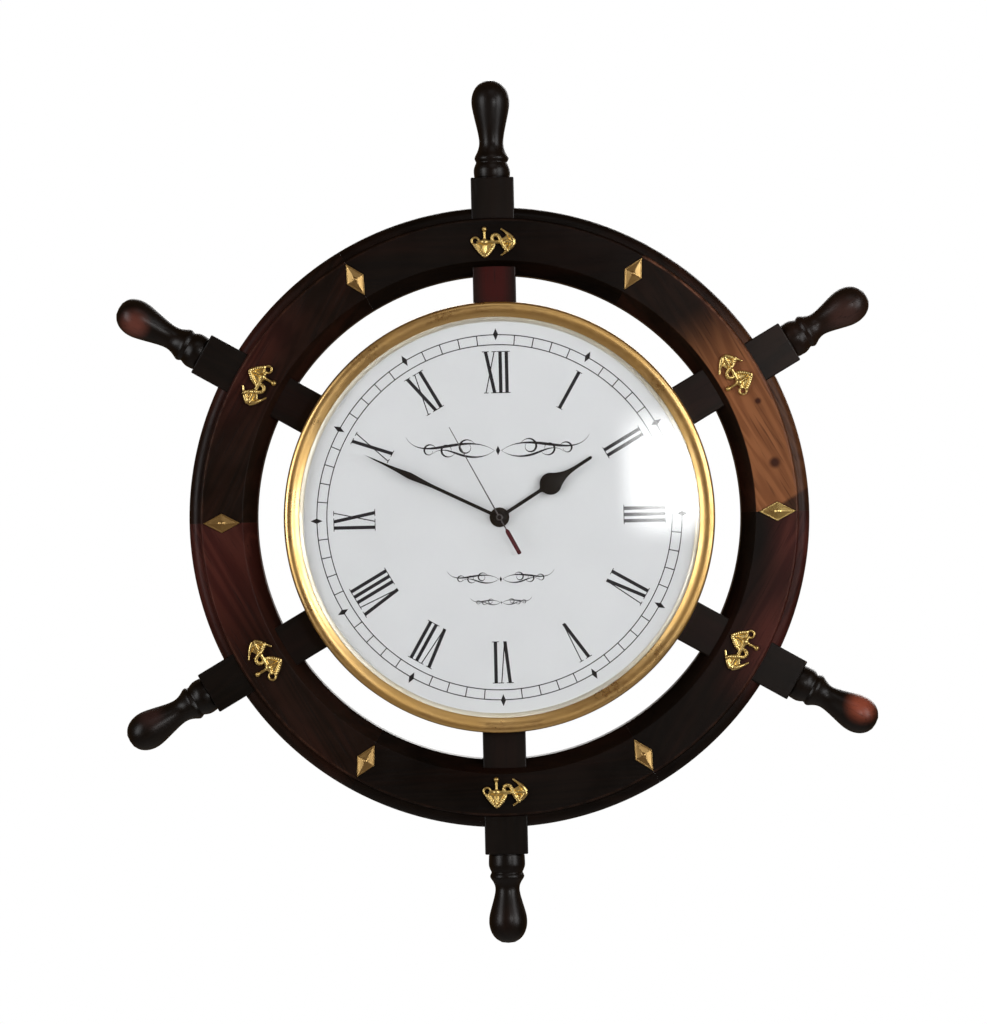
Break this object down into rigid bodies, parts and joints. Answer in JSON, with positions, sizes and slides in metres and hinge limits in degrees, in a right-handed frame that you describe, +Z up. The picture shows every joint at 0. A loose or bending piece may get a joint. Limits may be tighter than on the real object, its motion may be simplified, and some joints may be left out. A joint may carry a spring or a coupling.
{
  "type": "ship's-wheel wall clock",
  "caption": "Wall clock in the form of a wooden ship's steering wheel with turned spokes, brass anchors and diamonds, and a domed quartz dial in a brass bezel.",
  "frame": {"origin": "on the axis of the hands, midway between the wall face and the top of the domed glass, which is the centre of the bounding box", "axes": "+Z up to twelve o'clock, +X to three o'clock, +Y into the wall, so the dial faces -Y"},
  "size_m": [0.5335, 0.0558, 0.6119],
  "materials": {
    "spoke_wood": "dark stained hardwood under gloss lacquer",
    "rim_wood": "dark stained hardwood under gloss lacquer, tone varies from felloe to felloe",
    "hub_wood": "dark stained hardwood, thin lacquer",
    "board": "plain board, unfinished",
    "brass": "cast and polished, lacquered",
    "bezel_brass": "spun and polished, lacquered",
    "ring_satin": "pale satin lacquer over brass",
    "nut_black": "blackened",
    "gear_brass": "stamped, bright",
    "dial": "satin white enamel with black print",
    "glass": "clear polished domed glass",
    "hand_black": "satin black enamel",
    "hand_red": "needle grey-black, counterweight dark red enamel",
    "case_plastic": "fine-textured moulded plastic",
    "nylon": "natural moulded nylon",
    "rubber": "moulded rubber",
    "circuit_board": "green solder mask",
    "steel": "zinc-plated steel",
    "copper_wire": "enamelled copper winding",
    "magnet": "sintered magnet",
    "battery_skin": "printed sleeve over a steel can"
  },
  "bodies": {
    "wheel_and_case": {"spoke_1": "spoke_wood", "felloe_1": "rim_wood", "diamond_1": "brass", "anchor_1": "brass", "spoke_2": "spoke_wood", "felloe_2": "rim_wood", "diamond_2": "brass", "anchor_2": "brass", "spoke_3": "spoke_wood", "felloe_3": "rim_wood", "diamond_3": "brass", "anchor_3": "brass", "spoke_4": "spoke_wood", "felloe_4": "rim_wood", "diamond_4": "brass", "anchor_4": "brass", "spoke_5": "spoke_wood", "felloe_5": "rim_wood", "diamond_5": "brass", "anchor_5": "brass", "spoke_6": "spoke_wood", "felloe_6": "rim_wood", "diamond_6": "brass", "anchor_6": "brass", "hub_ring": "hub_wood", "backing_board": "board", "dial_plate": "dial", "dial_ring": "ring_satin", "glass": "glass", "bezel": "bezel_brass", "rubber_washer": "rubber", "brass_washer": "nut_black", "bush_nut": "nut_black", "centre_bush": "brass", "movement_case": "case_plastic", "movement_cover": "case_plastic", "train_plate": "nylon", "circuit_board": "circuit_board", "quartz_crystal": "steel", "coil": "copper_wire", "stator": "steel", "battery_contact_positive": "steel", "battery_contact_negative": "steel", "hanger_plate": "steel", "hanger_screw_1": "steel", "hanger_screw_2": "steel"},
    "minute_arbor": {"minute_wheel": "gear_brass", "minute_hand": "hand_black", "minute_hand_nut": "nut_black"},
    "hour_arbor": {"hour_wheel": "nylon", "hour_hand": "hand_black"},
    "seconds_arbor": {"seconds_wheel": "nylon", "seconds_hand": "hand_red"},
    "third_arbor": {"third_wheel": "gear_brass"},
    "intermediate_arbor": {"intermediate_wheel": "nylon"},
    "rotor_arbor": {"rotor": "magnet"},
    "motion_arbor": {"motion_wheel": "nylon", "setting_knob": "case_plastic"},
    "cell": {"battery": "battery_skin"}
  },
  "joints": [
    {"name": "minute_turn", "type": "hinge", "parent": "wheel_and_case", "child": "minute_arbor", "pos_m": [0, -0.0121, 0], "axis": [0, 1, 0], "continuous": true},
    {"name": "hour_turn", "type": "hinge", "parent": "wheel_and_case", "child": "hour_arbor", "pos_m": [0, -0.0101, 0], "axis": [0, 1, 0], "continuous": true},
    {"name": "seconds_turn", "type": "hinge", "parent": "wheel_and_case", "child": "seconds_arbor", "pos_m": [0, -0.0071, 0], "axis": [0, 1, 0], "continuous": true},
    {"name": "third_turn", "type": "hinge", "parent": "wheel_and_case", "child": "third_arbor", "pos_m": [-0.01039, 0.0009, 0.006], "axis": [0, 1, 0], "continuous": true},
    {"name": "intermediate_turn", "type": "hinge", "parent": "wheel_and_case", "child": "intermediate_arbor", "pos_m": [0.0045, 0.0039, 0.00779], "axis": [0, 1, 0], "continuous": true},
    {"name": "rotor_turn", "type": "hinge", "parent": "wheel_and_case", "child": "rotor_arbor", "pos_m": [0.01044, 0.0019, 0.01373], "axis": [0, 1, 0], "continuous": true},
    {"name": "motion_turn", "type": "hinge", "parent": "wheel_and_case", "child": "motion_arbor", "pos_m": [0.01304, 0.0019, 0.00349], "axis": [0, 1, 0], "continuous": true},
    {"name": "cell_slide", "type": "slide", "parent": "wheel_and_case", "child": "cell", "axis": [0, 1, 0], "range_m": [0, 0.035]}
  ],
  "couplings": [
    {"joint": "hour_turn", "follows": "minute_turn", "ratio": 0.083333},
    {"joint": "seconds_turn", "follows": "minute_turn", "ratio": 60},
    {"joint": "third_turn", "follows": "minute_turn", "ratio": -7.5},
    {"joint": "intermediate_turn", "follows": "minute_turn", "ratio": -300},
    {"joint": "rotor_turn", "follows": "minute_turn", "ratio": 1800},
    {"joint": "motion_turn", "follows": "minute_turn", "ratio": -0.33333}
  ]
}
